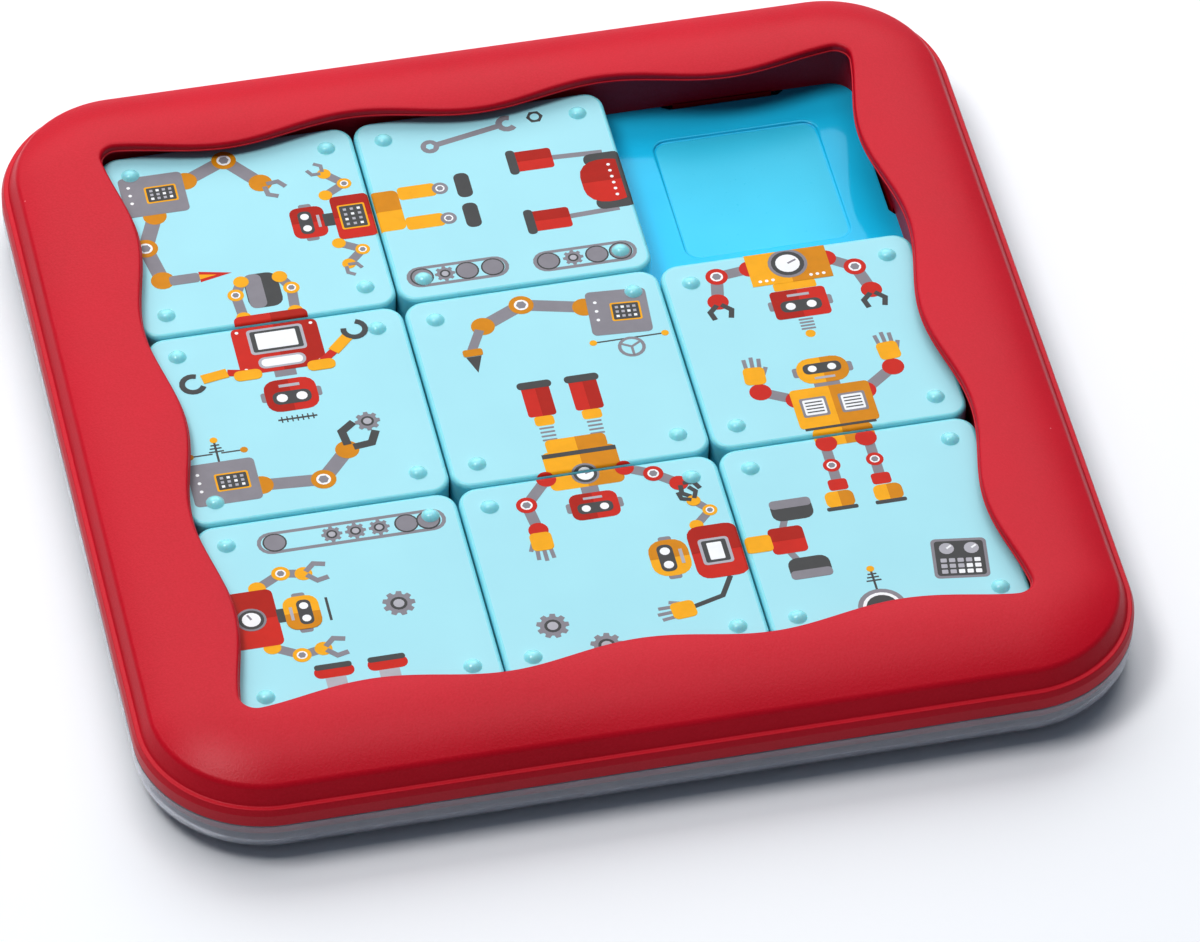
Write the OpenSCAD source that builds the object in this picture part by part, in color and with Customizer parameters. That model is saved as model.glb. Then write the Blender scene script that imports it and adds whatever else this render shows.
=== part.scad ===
// Sliding tile puzzle: eight studded tiles slide in a shallow tray, held in by
// the wavy lip of a raised frame, and the board stands in its own clear lid.
// Origin: centre of the lid's underside. +X right, +Y away, +Z up.

/* [Grid] */
// Distance from one tile centre to the next
pitch = 60; // [58:0.5:64]
// Gap between neighbouring tiles
tile_gap = 0.4; // [0.3:0.1:0.8]
// Gap between the outer tiles and the walls of the frame
edge_play = 1.2; // [0.8:0.1:1.4]

/* [Tiles] */
// Height of a tile from its foot to its face
tile_h = 9.6; // [8.8:0.1:9.8]
// Corner radius of a tile seen from above
tile_corner = 4.6; // [4:0.1:6]
// Rounding of a tile's upper edge
tile_ease = 1; // [0.6:0.1:1.4]
// Thickness of a tile's walls and face
tile_wall = 1.8; // [1.2:0.1:2.2]
// Thickness of the ribs inside a tile
tile_rib = 1.2; // [0.8:0.1:1.6]
// Width of a stud on a tile's face
stud_d = 4.4; // [3:0.1:5]
// Height of a stud above a tile's face
stud_h = 1.2; // [0.6:0.1:1.3]
// Distance of a stud from the centre lines of its tile
stud_offset = 23.2; // [20:0.1:24]

/* [Frame] */
// Width of the frame's rim, from the cavity wall to the flange's edge
rim_w = 22.1; // [21.6:0.1:22.6]
// Corner radius of the flange
frame_corner = 29; // [29:0.5:33]
// Height of the flange
flange_h = 4.85; // [4.6:0.05:5.1]
// Width of the ledge that the flange leaves around the pillow
ledge_w = 1.65; // [1.5:0.05:1.8]
// Height of the pillow above the flange
pillow_h = 8.65; // [8.5:0.05:8.8]
// Rounding of the pillow's outer edge
pillow_edge = 2.4; // [2.2:0.1:2.6]
// Wall thickness of the frame
frame_wall = 2; // [1.5:0.1:2.4]
// Height of a wave of the lip, from its middle line to its crest
wave_depth = 2.1; // [1:0.1:2.4]

/* [Tray] */
// Thickness of the tray's floor
floor_t = 2; // [1.6:0.1:2.4]
// Width of the sunk field in the middle of each cell
field_w = 39.5; // [34:0.5:44]
// Depth of the sunk field
field_depth = 0.6; // [0.3:0.1:0.8]
// Corner radius of the sunk field
field_corner = 3; // [2:0.5:6]
// Length of the clip slots at the wall of each outer cell
slot_len = 29.4; // [27:0.2:32]

/* [Lid] */
// Height of the lid
lid_h = 10.6; // [10.6:0.1:11.2]
// Wall thickness of the lid
lid_wall = 1.5; // [1.2:0.1:1.6]
// Thickness of the lid's floor
lid_floor = 1.2; // [1:0.1:1.4]
// Outer rounding around the lid's floor
lid_edge = 7.2; // [6:0.2:7.4]

/* [Hidden] */
$fn = 64;
past = 1;                                   // overshoot of a cutting shape

// Plan, measured from the centre
cells = [-1, 0, 1];
tile_half = (pitch - tile_gap) / 2;
cavity_half = pitch + tile_half + edge_play;
cavity_corner = tile_corner + edge_play;
rim_half = cavity_half + rim_w;
corner_at = rim_half - frame_corner;        // centre of the corner arcs
wall_half = cavity_half + frame_wall;       // outer face of the cavity wall

// Heights above the surface the lid stands on
flange_z = lid_h;
ledge_z = flange_z + flange_h;
crest_z = ledge_z + pillow_h;
face_z = ledge_z + 4.05;                    // faces of the tiles
floor_z = face_z - tile_h;                  // floor of the tray
lip_z = face_z + 2.4;                       // underside of the lip

// Rim section: reach is counted outwards from corner_at
crown_r = 37;                               // radius of the gentle crown
crown_at = 7.9;                             // reach of the crown's highest line
edge_at = frame_corner - ledge_w - 3.82;    // centre of the outer rounding
draft = 25;                                 // slant of the wall below it
crown_tilt = asin((edge_at - crown_at) / (crown_r - pillow_edge));
edge_z = crest_z - crown_r + (crown_r - pillow_edge) * cos(crown_tilt);
bevel_w = 0.6;                              // above, towards the pillow
bevel_h = 1.5;
flange_ease = 0.4;                          // below, where the lid meets it
skirt_gap = 0.4;                            // play of the skirt in the lid
skirt_reach = frame_corner - lid_wall - skirt_gap;
skirt_h = 3.6;
hollow_reach = skirt_reach - 3.1;           // outer wall of the hollow inside the rim
rib_t = 1.5;                                // cross ribs inside the rim
rib_h = 3.4;

// Lip: its edge waves once per cell, inwards at the middle of a cell
lip_mid = cavity_half - 3.7;
lip_corner = 3.6;
wave_steps = 60;
arc_steps = 6;

// Snap clips of the frame, which pass through slots of the tray
clip_len = 24;
clip_t = 1.8;
clip_barb = 1.4;
slot_taper = 1.65;                          // each end narrows by this much
slot_in = cavity_half - 1.1;
slot_out = cavity_half + clip_t + 0.4;

// Tray edge and the ribs under its floor
tray_half = wall_half + 5.2;
tray_rim_t = 1.8;
tray_foot_z = lid_floor + 0.3;
under_rib_t = 1.4;
under_rib_h = 3.2;
under_rib_step = 20;
under_rib_reach = 88;

// Offset of the lip's edge from the centre line, at distance s along a side
function wave(s) = lip_mid - wave_depth * cos(360 * s / pitch);
// Where the wave gives way to the corner arc
function wave_end() = wave(wave(lip_mid) - lip_corner) - lip_corner;
function turned(p, a) = [p[0] * cos(a) - p[1] * sin(a), p[0] * sin(a) + p[1] * cos(a)];

function lip_outline() = let (e = wave_end(), r = wave(e) - e) [
    for (side = [0:3])
        for (k = [0:wave_steps + arc_steps - 1])
            let (
                s = -e + 2 * e * min(k, wave_steps) / wave_steps,
                a = 90 * max(k - wave_steps, 0) / arc_steps,
                p = k <= wave_steps ? [wave(s), s] : [e + r * cos(a), e + r * sin(a)]
            )
            turned(p, 90 * side)
];

// Sweeps a section around the rim: straight sides and quarter-turn corners
module around_rim() {
    for (turn = [0:3]) rotate(90 * turn) {
        translate([corner_at, corner_at, 0]) rotate_extrude(angle = 90) children();
        translate([corner_at, corner_at, 0]) rotate([90, 0, 0])
            linear_extrude(2 * corner_at) children();
    }
}

module rounded_square(half, r) {
    square([2 * half, 2 * (half - r)], center = true);
    square([2 * (half - r), 2 * half], center = true);
    for (x = [-1, 1], y = [-1, 1]) translate([x, y] * (half - r)) circle(r);
}

// Quarter disc in the upper right of its centre
module quarter(r) {
    intersection() {
        circle(r);
        square(r + past);
    }
}

// The part below the crown, from its inner end out to some reach and down to some height
module under_crown(r, reach, low_z) {
    intersection() {
        translate([crown_at, crest_z - crown_r]) circle(r, $fn = 360);
        translate([0, low_z]) square([reach, crest_z - low_z]);
    }
}

// Section of the pillow: crown, outer rounding and slanted wall
module pillow_section() {
    low_z = ledge_z - past;
    out = [cos(draft), sin(draft)];
    foot = edge_at + (pillow_edge + (edge_z - low_z) * sin(draft)) / cos(draft);
    under_crown(crown_r, crown_at + crown_r * sin(crown_tilt), low_z);
    translate([edge_at, edge_z]) intersection() {
        circle(pillow_edge);
        polygon([[0, 0], 2 * pillow_edge * out, 2 * pillow_edge * [1, 1], [0, 2 * pillow_edge]]);
    }
    polygon([
        [0, low_z], [foot, low_z], [edge_at, edge_z] + pillow_edge * out, [edge_at, edge_z], [0, edge_z]
    ]);
}

module flange_section() {
    polygon([
        [0, flange_z], [frame_corner - flange_ease, flange_z],
        [frame_corner, flange_z + flange_ease], [frame_corner, ledge_z - bevel_h],
        [frame_corner - bevel_w, ledge_z], [0, ledge_z]
    ]);
}

module rim_section() {
    pillow_section();
    flange_section();
    translate([0, flange_z - skirt_h]) square([skirt_reach, skirt_h + past]);
}

// The hollow of the rim, open below, and the room under the cavity wall
module rim_hollow() {
    difference() {
        under_crown(crown_r - frame_wall, hollow_reach, floor_z - past);
        square([wall_half - corner_at, crest_z]);
    }
    square([hollow_reach, floor_z]);
}

module clip() {
    top = floor_z - floor_t - 0.1;
    foot = top - 2.5;
    rotate([90, 0, 0]) linear_extrude(clip_len, center = true) {
        translate([cavity_half, foot]) square([clip_t, floor_z - foot]);
        translate([cavity_half + clip_t, top])
            polygon([[0, 0], [clip_barb, 0], [clip_barb, -0.4], [0, -2.5]]);
    }
}

module slot_cut() {
    half = slot_len / 2;
    translate([0, 0, floor_z - floor_t - past]) linear_extrude(floor_t + 2 * past)
        polygon([
            [slot_in, -half + slot_taper], [cavity_half, -half], [slot_out, -half],
            [slot_out, half], [cavity_half, half], [slot_in, half - slot_taper]
        ]);
}

// Places a child at the wall of every outer cell, turned to face that wall
module at_each_wall() {
    for (turn = [0:3], cell = cells) rotate(90 * turn)
        translate([0, cell * pitch, 0]) children();
}

module red_frame() {
    color("crimson") difference() {
        around_rim() rim_section();
        around_rim() rim_hollow();
        linear_extrude(lip_z) rounded_square(cavity_half, cavity_corner);
        translate([0, 0, lip_z - past]) linear_extrude(pillow_h) polygon(lip_outline());
    }
}

// The clips stand on the foot of the cavity wall, moulded in one with the frame
module frame_clips() {
    color("crimson") at_each_wall() clip();
}

// Cross ribs in the hollow of the rim, moulded in one with the frame
module frame_ribs() {
    rib_z = floor_z + 2;
    color("crimson") for (turn = [0:3], s = [-1.25, -0.5, 0.5, 1.25]) rotate(90 * turn)
        translate([wall_half, s * pitch - rib_t / 2, rib_z])
            cube([corner_at + hollow_reach - wall_half, rib_t, rib_h]);
}

module blue_tray() {
    corner = tray_half - corner_at;
    color("deepskyblue") {
        difference() {
            translate([0, 0, tray_foot_z]) linear_extrude(floor_z - tray_foot_z)
                rounded_square(tray_half, corner);
            linear_extrude(floor_z - floor_t)
                rounded_square(tray_half - tray_rim_t, corner - tray_rim_t);
            at_each_wall() slot_cut();
            for (x = cells, y = cells)
                translate([x * pitch, y * pitch, floor_z - field_depth])
                    linear_extrude(field_depth + past)
                        rounded_square(field_w / 2, field_corner);
        }
    }
}

// Grid of ribs under the tray's floor, moulded in one with the tray
module tray_ribs() {
    color("deepskyblue") for (k = [-4:4], turn = [0, 90]) rotate(turn)
        translate([k * under_rib_step - under_rib_t / 2, -under_rib_reach,
                   floor_z - floor_t - under_rib_h])
            cube([under_rib_t, 2 * under_rib_reach, under_rib_h]);
}

// Section of a tile's edge, from the centre of its corner arc outwards
module tile_edge_section() {
    square([tile_corner - tile_ease, tile_h]);
    square([tile_corner, tile_h - tile_ease]);
    translate([tile_corner - tile_ease, tile_h - tile_ease]) quarter(tile_ease);
}

module tile_block() {
    at = tile_half - tile_corner;
    translate([-at, -at, 0]) cube([2 * at, 2 * at, tile_h]);
    for (turn = [0:3]) rotate(90 * turn) translate([at, at, 0]) {
        rotate_extrude(angle = 90) tile_edge_section();
        rotate([90, 0, 0]) linear_extrude(2 * at) tile_edge_section();
    }
}

// Inside of a tile: a pocket in three by three cells between thin ribs
module tile_pockets() {
    inner = tile_half - tile_wall;
    step = (2 * inner + tile_rib) / 3;
    intersection() {
        translate([0, 0, -past]) linear_extrude(tile_h - tile_wall + past)
            rounded_square(inner, tile_corner - tile_wall);
        for (x = cells, y = cells)
            translate([x * step, y * step, tile_h / 2])
                cube([step - tile_rib, step - tile_rib, tile_h + 2 * past], center = true);
    }
}

// Low dome whose foot is sunk a little into the tile's face
module stud() {
    dome_r = (pow(stud_d / 2, 2) + pow(stud_h, 2)) / (2 * stud_h);
    sink = tile_wall / 3;
    intersection() {
        translate([0, 0, tile_h + stud_h - dome_r]) sphere(dome_r);
        translate([0, 0, tile_h - sink]) cylinder(d = stud_d, h = sink + stud_h + past);
    }
}

// One tile in the cell of the given column and row
module tile(column, row) {
    color("paleturquoise") translate([column * pitch, row * pitch, floor_z]) {
        difference() {
            tile_block();
            tile_pockets();
        }
        for (x = [-1, 1], y = [-1, 1])
            translate([x * stud_offset, y * stud_offset, 0]) stud();
    }
}

module tile_far_left() { tile(-1, 1); }
module tile_far_middle() { tile(0, 1); }
module tile_middle_left() { tile(-1, 0); }
module tile_centre() { tile(0, 0); }
module tile_middle_right() { tile(1, 0); }
module tile_near_left() { tile(-1, -1); }
module tile_near_middle() { tile(0, -1); }
module tile_near_right() { tile(1, -1); }

// Section of a dish from its corner arc outwards: rounded below, open above
module dish_section(reach, low_z, edge, top_z) {
    translate([0, low_z]) square([reach - edge, top_z - low_z]);
    translate([0, low_z + edge]) square([reach, top_z - low_z - edge]);
    translate([reach - edge, low_z + edge]) mirror([0, 1]) quarter(edge);
}

module dish(reach, low_z, edge, top_z) {
    around_rim() dish_section(reach, low_z, edge, top_z);
    translate([-corner_at, -corner_at, low_z])
        cube([2 * corner_at, 2 * corner_at, top_z - low_z]);
}

module clear_lid() {
    color("lightsteelblue", 0.5) difference() {
        dish(frame_corner, 0, lid_edge, lid_h);
        dish(frame_corner - lid_wall, lid_floor, lid_edge - lid_wall, lid_h + past);
    }
}

clear_lid();
red_frame();
frame_clips();
frame_ribs();
blue_tray();
tray_ribs();
tile_far_left();
tile_far_middle();
tile_middle_left();
tile_centre();
tile_middle_right();
tile_near_left();
tile_near_middle();
tile_near_right();
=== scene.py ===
from math import asin, atan2, cos, degrees, pi, radians, sin, sqrt, tan

import bmesh
import bpy
from mathutils import Matrix, Vector
from mathutils.geometry import tessellate_polygon


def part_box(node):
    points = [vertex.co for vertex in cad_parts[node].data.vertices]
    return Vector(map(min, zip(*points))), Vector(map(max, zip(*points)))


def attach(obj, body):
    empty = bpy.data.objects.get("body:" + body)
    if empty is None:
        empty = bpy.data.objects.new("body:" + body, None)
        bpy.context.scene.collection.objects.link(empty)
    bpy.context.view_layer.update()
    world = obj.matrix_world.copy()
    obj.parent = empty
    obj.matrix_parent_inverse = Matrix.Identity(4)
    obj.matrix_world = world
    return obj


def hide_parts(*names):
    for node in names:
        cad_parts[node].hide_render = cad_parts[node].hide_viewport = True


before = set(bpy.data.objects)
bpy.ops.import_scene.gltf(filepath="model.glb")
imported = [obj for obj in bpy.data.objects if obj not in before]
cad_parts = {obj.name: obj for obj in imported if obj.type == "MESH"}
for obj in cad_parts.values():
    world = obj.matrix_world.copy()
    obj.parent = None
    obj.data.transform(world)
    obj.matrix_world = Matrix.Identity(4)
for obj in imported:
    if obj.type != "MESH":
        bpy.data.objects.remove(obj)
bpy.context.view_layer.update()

MM = 0.001

# ---------------- measures, in mm


def box_mm(node):
    """Lowest and highest corner of a CAD node, in mm."""
    low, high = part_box(node)
    return low / MM, high / MM


TILES = [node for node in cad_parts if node.startswith("tile_")]

lid_low, lid_high = box_mm("clear_lid")
frame_low, frame_high = box_mm("red_frame")
clips_low, clips_high = box_mm("frame_clips")
ribs_low, ribs_high = box_mm("frame_ribs")
tray_low, tray_high = box_mm("blue_tray")
grid_low, grid_high = box_mm("tray_ribs")
_, tile_high = box_mm("tile_centre")

PITCH = 60.0
CELLS = (-1, 0, 1)

# Tiles
TILE_HALF = tile_high.x
TILE_CORNER = 4.6
TILE_EASE = 1.0
TILE_WALL = 1.8
TILE_RIB = 1.2
STUD_R = 2.0
STUD_H = 1.2
STUD_AT = 23.2
FLOOR_Z = tray_high.z
FACE_Z = tile_high.z - STUD_H

# Frame: reaches are counted outwards from CORNER_AT, the centre of the corner arcs
RIM_HALF = frame_high.x
FRAME_CORNER = 29.0
CORNER_AT = RIM_HALF - FRAME_CORNER
LEDGE_W = 1.65
PILLOW_EDGE = 2.4
PILLOW_DRAFT = 25
FRAME_WALL = 2.0
CAVITY_HALF = 91.0
CAVITY_CORNER = 5.8
FLANGE_Z = lid_high.z
FLANGE_H = 4.85
LEDGE_Z = FLANGE_Z + FLANGE_H
BEVEL_W = 0.6
BEVEL_H = 1.5
SKIRT_REACH = FRAME_CORNER - 1.9
HOLLOW_REACH = SKIRT_REACH - 3.1
SKIRT_FOOT = frame_low.z
CREST_Z = frame_high.z
CROWN_R = 37.0
CROWN_AT = 7.9
EDGE_AT = FRAME_CORNER - LEDGE_W - 3.82
CROWN_TILT = asin((EDGE_AT - CROWN_AT) / (CROWN_R - PILLOW_EDGE))
EDGE_Z = CREST_Z - CROWN_R + (CROWN_R - PILLOW_EDGE) * cos(CROWN_TILT)

# Ribs and clips of the frame; places are counted in cells
RIB_PLACES = (-1.25, -0.5, 0.5, 1.25)
RIB_HALF = 0.75
RIB_SINK = 0.2
CLIP_HALF = 12.0
CLIP_T = 1.8

# Lip
LIP_Z = FACE_Z + 2.4
LIP_MID = CAVITY_HALF - 3.7
LIP_WAVE = 2.1
LIP_CORNER = 3.6
LIP_ROUND = 0.95
LIP_BEAD = 0.3

# Tray
TRAY_HALF = tray_high.x
TRAY_FOOT = tray_low.z
TRAY_FLOOR = 2.0
TRAY_RIM = 1.8
FIELD_HALF = 19.75
FIELD_CORNER = 3.0
FIELD_DEPTH = 0.6
FIELD_EASE = 0.55
SLOT_HALF = 14.7
SLOT_TAPER = 1.65
SLOT_IN = CAVITY_HALF - 1.1
SLOT_OUT = CAVITY_HALF + 2.2
GRID_STEP = 20.0
GRID_LINES = range(-4, 5)
GRID_HALF = 0.7

# Lid
LID_WALL = 1.5
LID_FLOOR = 1.2
LID_EDGE = 7.2

# ---------------- small geometry


class Solid:
    """Gathers closed shapes as vertices in mm and faces, with a material number for each face."""

    def __init__(self):
        self.verts = []
        self.faces = []
        self.paints = []

    def add(self, points, faces, paint=0):
        """Adds a shape: its points, and its faces as numbers of those points."""
        start = len(self.verts)
        self.verts.extend(Vector(p) for p in points)
        for face in faces:
            self.faces.append([start + k for k in face])
            self.paints.append(paint)

    def loft(self, rings, around=False, caps=False, paint=0):
        """Quads between loops of equal length.

        around joins the last loop to the first, caps closes both ends.
        """
        n = len(rings[0])
        points = [p for ring in rings for p in ring]
        pairs = [(k, k + 1) for k in range(len(rings) - 1)]
        if around:
            pairs.append((len(rings) - 1, 0))
        faces = []
        for a, b in pairs:
            for k in range(n):
                m = (k + 1) % n
                faces.append((a * n + k, a * n + m, b * n + m, b * n + k))
        if caps:
            last = (len(rings) - 1) * n
            faces.append(range(n))
            faces.append(range(last, last + n))
        self.add(points, faces, paint)

    def cover(self, loops, paint=0):
        """Fills a flat region, given its outline and the outlines of its holes."""
        lines = [[Vector(p) for p in ring] for ring in loops]
        points = [p for line in lines for p in line]
        self.add(points, tessellate_polygon(lines), paint)

    def object(self, name, materials, weld=True, sharp=50):
        """The gathered shapes as one object, in metres, with smooth faces and crisp edges."""
        mesh = bpy.data.meshes.new(name)
        mesh.from_pydata([v * MM for v in self.verts], [], self.faces)
        mesh.polygons.foreach_set("material_index", self.paints)
        for material in materials:
            mesh.materials.append(material)
        bm = bmesh.new()
        bm.from_mesh(mesh)
        if weld:
            bmesh.ops.remove_doubles(bm, verts=bm.verts, dist=1e-7)
            bmesh.ops.dissolve_degenerate(bm, edges=bm.edges, dist=1e-8)
        bmesh.ops.recalc_face_normals(bm, faces=bm.faces)
        for face in bm.faces:
            face.smooth = True
        for edge in bm.edges:
            edge.smooth = len(edge.link_faces) == 2 and edge.calc_face_angle() < radians(sharp)
        bm.to_mesh(mesh)
        bm.free()
        obj = bpy.data.objects.new(name, mesh)
        bpy.context.scene.collection.objects.link(obj)
        flat = obj.modifiers.new("even_normals", "WEIGHTED_NORMAL")
        flat.keep_sharp = True
        return obj


def arc(centre, r, start, end, steps):
    """Points on an arc, from start to end degrees, both ends included."""
    angles = [radians(start + (end - start) * k / steps) for k in range(steps + 1)]
    return [(centre[0] + r * cos(a), centre[1] + r * sin(a)) for a in angles]


def box(w, h, r=0.0, at=(0, 0), steps=4):
    """Outline of a box, counter-clockwise, its corners rounded with radius r."""
    corners = [((1, 1), 0), ((-1, 1), 90), ((-1, -1), 180), ((1, -1), 270)]
    if r <= 0:
        return [(at[0] + x * w / 2, at[1] + y * h / 2) for (x, y), _ in corners]
    return [p for (x, y), a in corners
            for p in arc((at[0] + x * (w / 2 - r), at[1] + y * (h / 2 - r)), r, a, a + 90, steps)]


def rounded_square(half, r, steps=8):
    return box(2 * half, 2 * half, r, steps=steps)


def circle(r, steps, at=(0, 0)):
    """Outline of a circle, without its first point again at the end."""
    return arc(at, r, 0, 360 * (steps - 1) / steps, steps - 1)


def lifted(outline, z, at=(0, 0)):
    """A flat outline as a loop of points at height z."""
    return [(x + at[0], y + at[1], z) for x, y in outline]


def turned(outline, angle):
    """An outline turned counter-clockwise about the origin, by an angle in degrees."""
    c, s = cos(radians(angle)), sin(radians(angle))
    return [(x * c - y * s, x * s + y * c) for x, y in outline]


def softened(corners, steps=5):
    """A closed outline of (x, y, r) corners, each rounded with radius r."""
    out = []
    for k, (x, y, r) in enumerate(corners):
        if not r:
            out.append((x, y))
            continue
        p = Vector((x, y))
        to_last = (Vector(corners[k - 1][:2]) - p).normalized()
        to_next = (Vector(corners[(k + 1) % len(corners)][:2]) - p).normalized()
        half = to_last.angle(to_next) / 2
        centre = p + (to_last + to_next).normalized() * (r / sin(half))
        start = p + to_last * (r / tan(half)) - centre
        end = p + to_next * (r / tan(half)) - centre
        a = atan2(start.y, start.x)
        sweep = (atan2(end.y, end.x) - a + pi) % (2 * pi) - pi
        for i in range(steps + 1):
            b = a + sweep * i / steps
            out.append((centre.x + r * cos(b), centre.y + r * sin(b)))
    return out


def prism(solid, outline, low, high, edge=0.15, paint=0):
    """A flat closed shape from low to high, its edges slightly inset."""
    centre = Vector((sum(p[0] for p in outline), sum(p[1] for p in outline))) / len(outline)
    inset = []
    for p in outline:
        out = Vector(p) - centre
        inset.append(centre + out * (1 - edge / max(out.length, edge * 2)))
    solid.loft([
        lifted(inset, low), lifted(outline, low + edge),
        lifted(outline, high - edge), lifted(inset, high),
    ], caps=True, paint=paint)


# ---------------- the rim and what is swept around it


def rim_stations(per_side, per_corner):
    """Places around the rim: the point that reaches start from, their direction, and where that is."""
    stations = []
    for turn in range(4):
        for k in range(per_side):
            s = CORNER_AT * (2 * k / per_side - 1)
            stations.append((turn, (CORNER_AT, s), 0))
        for k in range(per_corner):
            stations.append((turn, (CORNER_AT, CORNER_AT), 90 * k / per_corner))
    return stations


def rim_point(station, reach, z):
    """The point at a station that lies at a reach and a height."""
    turn, start, angle = station
    x = start[0] + reach * cos(radians(angle))
    y = start[1] + reach * sin(radians(angle))
    (x, y), = turned([(x, y)], 90 * turn)
    return (x, y, z)


def wave(s):
    """Offset of the lip's edge from the centre line: inwards once per cell."""
    return LIP_MID - LIP_WAVE * cos(2 * pi * s / PITCH)


def wave_end():
    """Where a side of the lip ends and its corner arc starts."""
    end = wave(LIP_MID) - LIP_CORNER
    return wave(end) - LIP_CORNER


def reach_to(station, side, end, corner):
    """Reach to an inner outline, whose sides are side(s) and whose corner arcs start at end."""
    _, start, angle = station
    if angle == 0:
        return side(start[1]) - CORNER_AT
    a = radians(min(angle, 90 - angle))
    reach = side(CORNER_AT) - CORNER_AT
    for _ in range(6):
        reach = (side(CORNER_AT + reach * sin(a)) - CORNER_AT) / cos(a)
    if CORNER_AT + reach * sin(a) <= end:
        return reach
    q = CORNER_AT - end
    both = cos(a) + sin(a)
    r = side(end) - end if corner is None else corner
    return -q * both + sqrt(q * q * both * both - 2 * q * q + r * r)


def crown_z(reach):
    """Height of the crown's arc at a reach."""
    return arc_height(CROWN_R, reach)


def crown_points(r, first, last, steps):
    """Points of the crown's arc or its offset, of radius r, between two reaches."""
    points = []
    for k in range(steps + 1):
        reach = first + (last - first) * k / steps
        points.append((reach, arc_height(r, reach), 0))
    return points


def arc_height(r, reach):
    """Height at a reach on an arc of radius r about the crown's centre."""
    return CREST_Z - CROWN_R + sqrt(r ** 2 - (reach - CROWN_AT) ** 2)


def rim_profile(lip, cavity):
    """Section of the frame at one station, as a closed outline of reach and height.

    Each corner is a reach, a height and the radius of its rounding.
    """
    inner_r = CROWN_R - FRAME_WALL
    wall_reach = CAVITY_HALF + FRAME_WALL - CORNER_AT
    tilt = 90 - degrees(CROWN_TILT)
    crown_end = CROWN_AT + CROWN_R * sin(CROWN_TILT)
    outer = [(x, z, 0) for x, z in arc((EDGE_AT, EDGE_Z), PILLOW_EDGE, tilt, PILLOW_DRAFT, 9)][1:]
    corners = [
        (cavity, FLOOR_Z, 0.15),
        (cavity, LIP_Z, 0.3),
        (lip, LIP_Z, 0.12),
        (lip, LIP_Z + LIP_BEAD, 0.12),
        (lip + LIP_BEAD, LIP_Z + LIP_BEAD * 1.2, 0.08),
        (lip + LIP_BEAD, crown_z(lip), LIP_ROUND),
        *crown_points(CROWN_R, lip + 1.5, crown_end, 16),
        *outer,
        (FRAME_CORNER - LEDGE_W, LEDGE_Z, 0.45),
        (FRAME_CORNER - BEVEL_W, LEDGE_Z, 0.3),
        (FRAME_CORNER, LEDGE_Z - BEVEL_H, 0.5),
        (FRAME_CORNER, FLANGE_Z, 0.4),
        (SKIRT_REACH, FLANGE_Z, 0.15),
        (SKIRT_REACH, SKIRT_FOOT, 0.3),
        (HOLLOW_REACH, SKIRT_FOOT, 0.3),
        (HOLLOW_REACH, arc_height(inner_r, HOLLOW_REACH), 0.4),
        *crown_points(inner_r, HOLLOW_REACH - 1, wall_reach + 0.6, 6),
        (wall_reach, arc_height(inner_r, wall_reach), 0.4),
        (wall_reach, FLOOR_Z, 0.15),
    ]
    return softened(corners)


def rim_ring(station):
    """The frame's section at a station, as points in space."""
    lip = reach_to(station, wave, wave_end(), None)
    cavity = reach_to(station, lambda s: CAVITY_HALF, CAVITY_HALF - CAVITY_CORNER, CAVITY_CORNER)
    return [rim_point(station, reach, z) for reach, z in rim_profile(lip, cavity)]


def add_clips(solid):
    """Snap clips under the cavity wall, one at the wall of every outer cell."""
    foot, top = clips_low.z, FLOOR_Z - TRAY_FLOOR - 0.1
    barb = clips_high.x
    face = CAVITY_HALF + CLIP_T
    root = FLOOR_Z + 0.5
    ease = 0.2
    section = softened([
        (CAVITY_HALF, root, 0), (CAVITY_HALF, foot, ease), (face, foot, ease),
        (barb, top - 0.4, 0.15), (barb, top, 0.1), (face, top, 0), (face, root, 0),
    ], 3)
    middle = (CAVITY_HALF + face) / 2
    ends = ((-CLIP_HALF, ease), (-CLIP_HALF + ease, 0), (CLIP_HALF - ease, 0), (CLIP_HALF, ease))
    for turn in range(4):
        for cell in CELLS:
            at = cell * PITCH
            rings = []
            for s, shrink in ends:
                flat = [(x - shrink if x > middle else x + shrink, at + s) for x, z in section]
                flat = turned(flat, 90 * turn)
                rings.append([(x, y, max(z, foot + shrink)) for (x, y), (_, z) in zip(flat, section)])
            solid.loft(rings, caps=True)


def add_rim_ribs(solid):
    """Cross ribs in the hollow under the crown, their ends sunk into its walls."""
    inner = CAVITY_HALF + FRAME_WALL - RIB_SINK
    outer = ribs_high.x + RIB_SINK
    for turn in range(4):
        for place in RIB_PLACES:
            low, high = place * PITCH - RIB_HALF, place * PITCH + RIB_HALF
            outline = [(inner, low), (outer, low), (outer, high), (inner, high)]
            prism(solid, turned(outline, 90 * turn), ribs_low.z, ribs_high.z)


def red_frame(material):
    """The whole red moulding: the rim swept round, its clips and its ribs."""
    solid = Solid()
    solid.loft([rim_ring(station) for station in rim_stations(120, 28)], around=True)
    add_clips(solid)
    add_rim_ribs(solid)
    return solid.object("red_rim", [material])


# ---------------- tray


def slot_outline():
    """Outline of a clip slot at the +X wall, with tapered inner ends."""
    inner = SLOT_HALF - SLOT_TAPER
    return softened([
        (SLOT_IN, -inner, 0.3), (CAVITY_HALF, -SLOT_HALF, 0.3), (SLOT_OUT, -SLOT_HALF, 0.3),
        (SLOT_OUT, SLOT_HALF, 0.3), (CAVITY_HALF, SLOT_HALF, 0.3), (SLOT_IN, inner, 0.3),
    ], 2)


def grown(outline, by):
    """An outline moved outwards by a distance, for outlines that run counter-clockwise."""
    out = []
    n = len(outline)
    for k in range(n):
        (ax, ay), (x, y), (bx, by_) = outline[k - 1], outline[k], outline[(k + 1) % n]
        normal = Vector((y - ay, ax - x)).normalized() + Vector((by_ - y, x - bx)).normalized()
        normal.normalize()
        out.append((x + normal.x * by, y + normal.y * by))
    return out


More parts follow.
